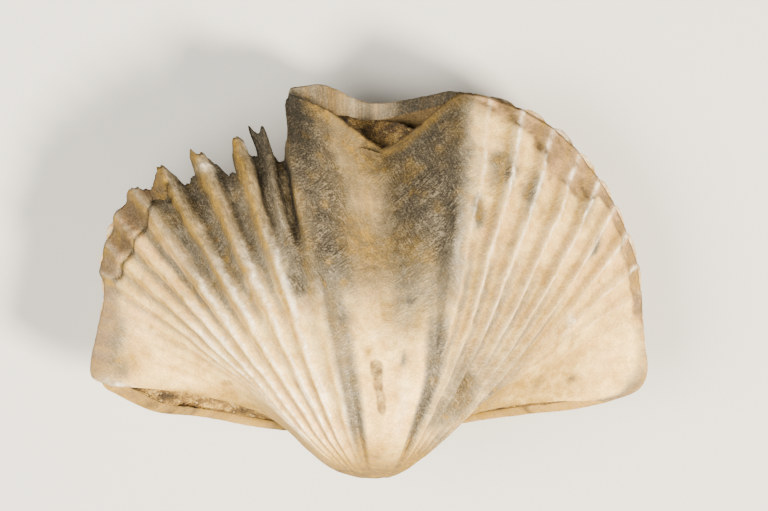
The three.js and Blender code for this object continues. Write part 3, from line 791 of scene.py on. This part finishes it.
def closed_body(name, top, bottom, marks_top, marks_bottom):
    """A mesh from an upper and a lower sheet joined along their rims, in metres.
    Its points carry the masks, 0 where a sheet has none, and a UV map in
    millimetres across and along."""
    shift = len(top["points"])
    points = np.concatenate([top["points"], bottom["points"]])
    joint = zip_rims(top["rim"], top["marks"], bottom["rim"] + shift, bottom["marks"])
    faces = (top["quads"].tolist() + top["fan"].tolist()
             + (bottom["quads"][:, ::-1] + shift).tolist()
             + (bottom["fan"][:, ::-1] + shift).tolist() + joint.tolist())
    mesh = bpy.data.meshes.new(name)
    mesh.from_pydata((points * MM + SHELL_PLACE).tolist(), [], faces)
    for key in sorted({**marks_top, **marks_bottom}):
        values = np.concatenate([np.broadcast_to(marks.get(key, 0.0), len(part["u"]))
                                 for part, marks in ((top, marks_top), (bottom, marks_bottom))])
        layer = mesh.attributes.new(key, "FLOAT", "POINT")
        layer.data.foreach_set("value", values.astype(np.float32))
    u = np.concatenate([top["u"], bottom["u"]])
    v = np.concatenate([top["v"], bottom["v"]])
    corner = np.empty(len(mesh.loops), dtype=np.int32)
    mesh.loops.foreach_get("vertex_index", corner)
    flat = np.stack([v * u * SPAN_ACROSS, u * SPAN_ALONG], axis=-1)[corner]
    mesh.uv_layers.new(name="growth").data.foreach_set("uv", flat.astype(np.float32).ravel())
    mesh.shade_smooth()
    return add_object(name, mesh)


def linear(colour):
    """An sRGB hex colour as linear red, green, blue and alpha."""
    parts = [int(colour[i:i + 2], 16) / 255 for i in (1, 3, 5)]
    return [c / 12.92 if c <= 0.04045 else ((c + 0.055) / 1.055) ** 2.4 for c in parts] + [1.0]


def add(tree, kind, inputs=None, **settings):
    """Adds one shader node, with its settings, and its inputs as values or links."""
    node = tree.nodes.new("ShaderNode" + kind)
    for key, value in settings.items():
        setattr(node, key, value)
    for key, value in (inputs or {}).items():
        if isinstance(value, bpy.types.NodeSocket):
            tree.links.new(value, node.inputs[key])
        else:
            node.inputs[key].default_value = value
    return node


def new_material(name):
    """A material with its node tree and its shader."""
    material = bpy.data.materials.new(name)
    material.use_nodes = True
    return material, material.node_tree, material.node_tree.nodes["Principled BSDF"]


# Sockets of a colour Mix node
BELOW, ABOVE, MIXED = 6, 7, 2

# Sizes in millimetres of the shell's mottling, and how many finer sizes join each
CLOUD, BLOTCH, FLECK, GRAIN = 4.5, 1.7, 0.7, 0.15
MOTTLES = ((CLOUD, 3.0), (BLOTCH, 4.0), (FLECK, 3.0), (GRAIN, 2.0))
FIBRE_TURNS = (-58.0, 28.0)        # degrees: two sheaves of fibres aslant to the ribs
HAIR_WIDTH, HAIR_LENGTH = 0.11, 0.7
MUD_GRAIN, MUD_CLOUD = 0.17, 0.9

# The shell's colours from the crust up: mask, the mottling that breaks it up, the
# span of that mottling, how strongly the layer shows at its two ends, and the tone.
# Worn shell has a grey ground below its grain, so that its soft rims fade to grey.
LAYERS = (
    (None, BLOTCH, (0.38, 0.62), (0.0, 1.0), "ivory"),
    (None, CLOUD, (0.5, 0.66), (0.0, 0.55), "blush"),
    (None, FLECK, (0.56, 0.7), (0.0, 0.35), "dusty"),
    ("blush", CLOUD, (0.35, 0.65), (0.7, 1.3), "blush"),
    ("worn", FLECK, (0.35, 0.65), (1.2, 1.8), "grey"),
    ("worn", FLECK, (0.35, 0.65), (0.85, 1.15), "worn"),
    ("tan", BLOTCH, (0.35, 0.65), (0.5, 1.4), "tan"),
    ("ochre", FLECK, (0.35, 0.65), (0.5, 1.1), "ochre"),
    ("dark", GRAIN, (0.35, 0.65), (1.15, 0.85), "dark"),
    ("pearl", FLECK, (0.35, 0.65), (0.3, 1.2), "pearl"),
    ("brown", FLECK, (0.35, 0.65), (1.15, 0.6), "mud"),
)


def shell_calcite(name, tones):
    """Fossil calcite shell, worn by burial: a matt cream crust, blotched pink and grey, that is
    pearly where the fibres lie smooth, granular and hairy where they are worn through, stained
    ochre by iron, with brown mud left in the hollows. Its masks also paint light and shade into the
    colour: pale painted highlights on the ribs' sides that face the key light, ochre and grey
    painted shade on the sides that face away, and darker grooves, furrows, crack, margins and beak
    tip. Its grain and hairs are drawn coarser than the real ones, so that they show."""
    material, tree, shader = new_material(name)
    place = add(tree, "TexCoord")
    mottle = {}
    for size, detail in MOTTLES:
        mottle[size] = add(tree, "TexNoise", {
            "Vector": place.outputs["Object"], "Scale": 1000 / size, "Detail": detail,
            "Roughness": 0.65}).outputs["Fac"]

    # Fibres: two sheaves of hairs, each where the clouds leave it uppermost
    sheaves = []
    for turn in FIBRE_TURNS:
        turned = add(tree, "Mapping", {
            "Vector": place.outputs["UV"], "Rotation": (0, 0, math.radians(turn)),
            "Scale": (HAIR_WIDTH, HAIR_LENGTH, 1)}, vector_type="TEXTURE").outputs["Vector"]
        sheaves.append(add(tree, "TexNoise", {
            "Vector": turned, "Scale": 1.0, "Detail": 2.0, "Distortion": 0.6}).outputs["Fac"])
    uppermost = add(tree, "MapRange", {
        "Value": mottle[CLOUD], "From Min": 0.44, "From Max": 0.56}).outputs["Result"]
    speckle = add(tree, "Mix", {0: uppermost, 2: sheaves[0], 3: sheaves[1]},
                  data_type="FLOAT").outputs[0]
    for size, weight in ((GRAIN, 1.2), (FLECK, 0.8), (BLOTCH, 0.6)):
        speckle = add(tree, "Math", {0: mottle[size], 1: weight, 2: speckle},
                      operation="MULTIPLY_ADD").outputs["Value"]
    speckle = add(tree, "MapRange", {
        "Value": speckle, "From Min": 1.35, "From Max": 2.25}).outputs["Result"]
    paint = {tone: linear(value) for tone, value in tones.items()}
    granular = add(tree, "ValToRGB", {"Fac": speckle})
    ramp = granular.color_ramp.elements
    ramp[0].color, ramp[1].color = paint["worn dark"], paint["worn light"]
    ramp.new(0.5).color = paint["worn"]
    paint["worn"] = granular.outputs["Color"]

    # Layers of colour, each broken up by its mottling
    colour = paint["cream"]
    amounts = {}
    for mask, size, span, strength, tone in LAYERS:
        amount = add(tree, "MapRange", {
            "Value": mottle[size], "From Min": span[0], "From Max": span[1],
            "To Min": strength[0], "To Max": strength[1]}).outputs["Result"]
        if mask:
            painted = add(tree, "Attribute", attribute_name=mask).outputs["Fac"]
            amount = add(tree, "Math", {0: painted, 1: amount}, operation="MULTIPLY",
                         use_clamp=True).outputs["Value"]
            amounts[mask] = amount
        colour = add(tree, "Mix", {0: amount, BELOW: colour, ABOVE: paint[tone]},
                     data_type="RGBA").outputs[MIXED]
    grit = add(tree, "MapRange", {
        "Value": speckle, "From Min": 0.2, "From Max": 0.8, "To Min": 0.7,
        "To Max": 1.1}).outputs["Result"]
    colour = add(tree, "Mix", {0: 1.0, BELOW: colour, ABOVE: grit},
                 data_type="RGBA", blend_type="MULTIPLY").outputs[MIXED]
    tree.links.new(colour, shader.inputs["Base Color"])

    # Pearly calcite is the smoothest, worn calcite and mud the dullest
    dull = add(tree, "MapRange", {
        "Value": amounts["pearl"], "To Min": 0.52, "To Max": 0.3}).outputs["Result"]
    for mask, rough_value in (("worn", 0.8), ("brown", 0.95)):
        dull = add(tree, "Mix", {0: amounts[mask], 2: dull, 3: rough_value},
                   data_type="FLOAT").outputs[0]
    tree.links.new(dull, shader.inputs["Roughness"])
    shader.inputs["IOR"].default_value = 1.55
    sheen = add(tree, "MapRange", {
        "Value": amounts["pearl"], "To Min": 0.12, "To Max": 0.5}).outputs["Result"]
    tree.links.new(sheen, shader.inputs["Specular IOR Level"])

    depth = add(tree, "MapRange", {
        "Value": amounts["worn"], "To Min": 0.45, "To Max": 1.0}).outputs["Result"]
    pitted = add(tree, "Math", {0: depth, 1: speckle},
                 operation="MULTIPLY").outputs["Value"]
    bump = add(tree, "Bump", {"Height": pitted, "Strength": 0.6, "Distance": 0.00012})
    tree.links.new(bump.outputs["Normal"], shader.inputs["Normal"])
    return material


UPPER_TONES = {
    "cream": "#E2B262", "ivory": "#F4D086", "blush": "#E4B074", "dusty": "#9C8A6A",
    "ochre": "#9A782E", "pearl": "#FFF0D6", "tan": "#786248", "mud": "#5E4C32",
    "grey": "#A2947A", "worn light": "#827661", "worn": "#4A4236", "worn dark": "#26221B",
    "dark": "#161410",
}
LOWER_TONES = dict(UPPER_TONES, cream="#DAA85A", ivory="#E8C27C")


def hardened_mud(name):
    """Lime mud hardened to stone round the shells: dull and granular, rust and ochre grains with
    pale chips of shell, and painted shade, near black, in the holes between them and in the notch."""
    material, tree, shader = new_material(name)
    place = add(tree, "TexCoord").outputs["Object"]
    grains = add(tree, "TexVoronoi", {"Vector": place, "Scale": 1000 / MUD_GRAIN})
    cloud = add(tree, "TexNoise", {
        "Vector": place, "Scale": 1000 / MUD_CLOUD, "Detail": 5.0,
        "Roughness": 0.75}).outputs["Fac"]
    tone = add(tree, "ValToRGB", {"Fac": cloud})
    ramp = tone.color_ramp.elements
    ramp[0].position, ramp[1].position = 0.36, 0.66
    ramp[0].color, ramp[1].color = linear("#352711"), linear("#B49250")
    ramp.new(0.48).color = linear("#6A4E22")
    ramp.new(0.56).color = linear("#8F6E31")
    grey = add(tree, "SeparateColor", {"Color": grains.outputs["Color"]})
    chip = add(tree, "MapRange", {
        "Value": grey.outputs["Red"], "From Min": 0.94, "From Max": 0.97}).outputs["Result"]
    pale = add(tree, "Mix", {
        0: chip, BELOW: tone.outputs["Color"], ABOVE: linear("#A08858")},
        data_type="RGBA").outputs[MIXED]
    # Painted shade: near black in the holes and gaps, darker over the notch
    hole = add(tree, "Attribute", attribute_name="hole").outputs["Fac"]
    colour = add(tree, "Mix", {0: hole, BELOW: pale, ABOVE: linear("#140D06")},
                 data_type="RGBA").outputs[MIXED]
    tree.links.new(colour, shader.inputs["Base Color"])
    shader.inputs["Roughness"].default_value = 0.95
    shader.inputs["IOR"].default_value = 1.5
    bump = add(tree, "Bump", {
        "Height": grains.outputs["Distance"], "Strength": 0.8, "Distance": 0.0002})
    bump.invert = True
    tree.links.new(bump.outputs["Normal"], shader.inputs["Normal"])
    return material


def card(name, colour):
    """Matt studio card in one even tone, which gives back soft light and no shine."""
    material, _, shader = new_material(name)
    shader.inputs["Base Color"].default_value = linear(colour)
    shader.inputs["Roughness"].default_value = 0.9
    return material


# Masks over the whole of the valves' inner sides
INNER_MARKS = {"dark": 0.85, "brown": 0.9}


def upper_valve():
    """The ribbed, broken upper valve, with its edge turned in to the hollow."""
    lines = spaced_lines(np.array([
        [-1, 0.0068], [-0.62, 0.006], [-0.54, 0.0038], [-0.5, 0.0026], [-0.19, 0.0026],
        [-0.15, 0.0043], [0.25, 0.0045], [0.62, 0.0048], [1, 0.007]]))

    def reach(along, v):
        """The plain edge near the beak, the torn one, made ragged, at the front."""
        ragged = 0.007 * break_zone(np.ones_like(v), v) + 0.0015
        broken = table(BROKEN_EDGE, v) - ragged * np.abs(rough(place_along_edge(v), 0.5, 91))
        return mix(table(PLAIN_EDGE, v), broken, along ** 8)

    def outside_shape(u, v):
        """The skin, raised along its normals by the relief."""
        v = v + tooth_lean(u, v)
        p = upper_skin(u, v)
        return p + normals(upper_skin, u, v, 1) * upper_relief(u, v, p)[..., None]

    hollow = under_upper(SHELL_WALL, 0.965, 0.89)
    hollow_reach = reach_of(UPPER_HOLLOW_EDGE)
    outside = sheet(198, lines, reach, outside_shape, (hollow, hollow_reach, 4, 0.14))
    inside = sheet(INSIDE_ROWS, INSIDE_LINES, short_of(hollow_reach), hollow)
    u, v = outside["u"], outside["v"]
    v = v + tooth_lean(u, v)
    marks = upper_marks(u, v, upper_skin(u, v))[0]
    return closed_body("pedicle_valve_shell", outside, inside, marks, INNER_MARKS)


def lower_valve():
    """The lower valve: ribs under the grooves of the upper one, a fold in the
    middle, and the flat spot where it would pass below the surface it lies on."""
    lines = spaced_lines(np.array([[-1, 0.009], [-0.5, 0.006], [0.5, 0.006], [1, 0.009]]))

    def outside_shape(u, v):
        """The skin, raised along its normals by the relief, and flat where it rests."""
        p = lower_skin(u, v)
        p = p + normals(lower_skin, u, v, -1) * lower_relief(u, v, p)[..., None]
        p[..., 2] = np.maximum(p[..., 2], 0)
        return p

    def reach(along, v):
        """The edge of the table, torn back by noise, most at the broken ribs."""
        ragged = 0.02 * window(-0.56, -0.5, -0.21, -0.19, v) + 0.001
        torn = ragged * np.abs(rough(place_along_edge(v), 0.9, 92))
        return table(LOWER_EDGE, v) - along ** 4 * torn

    hollow = drawn_in(lower_skin, 0.945, 0.86)
    hollow_reach = reach_of(LOWER_HOLLOW_EDGE)
    outside = sheet(130, lines, reach, outside_shape, (hollow, hollow_reach, 6, 0.3))
    inside = sheet(INSIDE_ROWS, INSIDE_LINES, short_of(hollow_reach), hollow)
    u, v = outside["u"], outside["v"]
    marks = lower_marks(u, v, lower_skin(u, v))[0]
    return closed_body("brachial_valve_shell", inside, outside, INNER_MARKS, marks)


# Painted shade in the mud: dark holes along the hinge, shaded by the upper valve's edge, x, y, half
# width, depth of tone, and dark gaps under the two arms of the notch x and half width
HINGE_HOLE_SHADE = [(-18.7, -8.85, 0.6, 1.0), (-16.4, -9.2, 0.8, 1.0), (-10.3, -10.4, 0.5, 0.7),
               (11.0, -10.2, 1.0, 0.4)]
NOTCH_GAP_SHADE = [(-4.6, 1.5), (4.9, 1.4)]


def mud_filling():
    """The mud between the valves: a lumpy body inside both, whose broad hem is the
    mud that shows in the notch, at the broken edge and along the hinge."""
    lines = spaced_lines(np.array([[-1, 0.012], [-0.3, 0.009], [-0.2, 0.004], [0.2, 0.004],
                                   [0.3, 0.009], [1, 0.012]]))

    def lumpy(shape, outward):
        """A shape with noise added along its normals, more towards its edge."""
        def lumps(u, v):
            p = shape(u, v)
            away = normals(shape, u, v, outward)
            height = (0.16 * rough(p, 1.6, 101) + 0.06 * noise(p, 0.5, 104)) * smooth(0.6, 0.9, u)
            return p + away * height[..., None]
        return lumps

    reach = reach_of(MUD_EDGE)
    ceiling = under_upper(SHELL_WALL + 0.25, 0.953, 0.86)
    bed = drawn_in(lower_skin, 0.94, 0.8)
    top = sheet(90, lines, reach, lumpy(ceiling, 1), (lumpy(bed, -1), reach, 14, 0.35))
    bottom = sheet(INSIDE_ROWS, INSIDE_LINES, short_of(reach), bed)
    p = top["points"]
    top["points"] = p + 0.1 * np.stack([rough(p, 0.7, seed) for seed in (111, 114, 117)], axis=-1)
    x, y = top["points"][:, 0], top["points"][:, 1]
    # Painted shade: dark in holes towards the hinge, in the listed holes under the hinge edge and
    # the gaps under the notch's arms, and half as dark over the whole notch
    hole = smooth(0.5, 0.9, rough(p, 1.1, 121)) * smooth(-6, -3, y)
    for at_x, at_y, wide, deep in HINGE_HOLE_SHADE:
        hole = np.maximum(hole, deep * bell(x, at_x, wide) * bell(y, at_y, 0.35))
    for at_x, wide in NOTCH_GAP_SHADE:
        hole = np.maximum(hole, bell(x, at_x, wide) * smooth(8, 11, y))
    hole = np.maximum(hole, 0.5 * smooth(7, 9, y))
    return closed_body("mud_filling_lumps", top, bottom, {"hole": hole}, {})


def finish(piece, material, node):
    """Gives a piece its material, hides the CAD part that it takes the place of, and hangs it under
    the root body.
    """
    piece.data.materials.append(material)
    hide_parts(node)
    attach(piece, "root")


finish(upper_valve(), shell_calcite("worn fossil calcite, upper", UPPER_TONES),
       "pedicle_valve")
finish(lower_valve(), shell_calcite("worn fossil calcite, lower", LOWER_TONES),
       "brachial_valve")
finish(mud_filling(), hardened_mud("hardened lime mud"), "sediment_fill")

# Floor, light and camera. The camera looks down, from a little to the left.
PIXEL = 0.0809 * MM        # metres of shell that one pixel of the photo spans
CAMERA_ROLL = math.radians(7.7)
LENS = 500.0
SENSOR = 36.0
FRAME_WIDTH = 768
FRAME_MIDDLE = (384.0, 255.5)
SHELL_MIDDLE = (370.0, 282.0)


def set_camera():
    """Long lens, straight above the seam's middle, turned about the Y axis."""
    right = Vector((math.cos(CAMERA_ROLL), 0, math.sin(CAMERA_ROLL)))
    up = Vector((0, 1, 0))
    back = right.cross(up)
    distance = FRAME_WIDTH * PIXEL * LENS / SENSOR
    across = (FRAME_MIDDLE[0] - SHELL_MIDDLE[0]) * PIXEL
    upward = (SHELL_MIDDLE[1] - FRAME_MIDDLE[1]) * PIXEL
    middle = Vector(SHELL_PLACE) + Vector((0, 0, MM * SEAM))
    data = bpy.data.cameras.new("camera")
    data.lens, data.sensor_width = LENS, SENSOR
    data.clip_start, data.clip_end = 0.01, 10
    camera = add_object("camera", data)
    turn = Matrix((right, up, back)).transposed().to_4x4()
    camera.matrix_world = Matrix.Translation(
        middle + right * across + up * upward + back * distance) @ turn
    bpy.context.scene.camera = camera


def set_light(name, place, size, power, colour):
    """A square soft light at a place in metres, aimed at the shell."""
    data = bpy.data.lights.new(name, "AREA")
    data.energy, data.size, data.color = power, size, linear(colour)[:3]
    light = add_object(name, data)
    light.location = place
    light.rotation_euler = (-Vector(place)).to_track_quat("-Z", "Y").to_euler()


def set_floor():
    """A flat square of card around the origin, where the shell lies."""
    mesh = bpy.data.meshes.new("floor")
    half = 0.6
    mesh.from_pydata([(-half, -half, 0), (half, -half, 0), (half, half, 0), (-half, half, 0)],
                     [], [(0, 1, 2, 3)])
    mesh.materials.append(card("pale studio card", "#C6C5C2"))
    floor = add_object("floor", mesh)


set_floor()
set_light("key", (0.26, -0.2, 0.39), 0.12, 12.0, "#FFF4DC")
set_light("left fill", (-0.3, -0.08, 0.4), 0.3, 7.5, "#FFFAEC")
set_camera()
world = bpy.data.worlds.new("studio")
world.use_nodes = True
world.node_tree.nodes["Background"].inputs["Color"].default_value = linear("#D2D2D0")
world.node_tree.nodes["Background"].inputs["Strength"].default_value = 0.25
bpy.context.scene.world = world
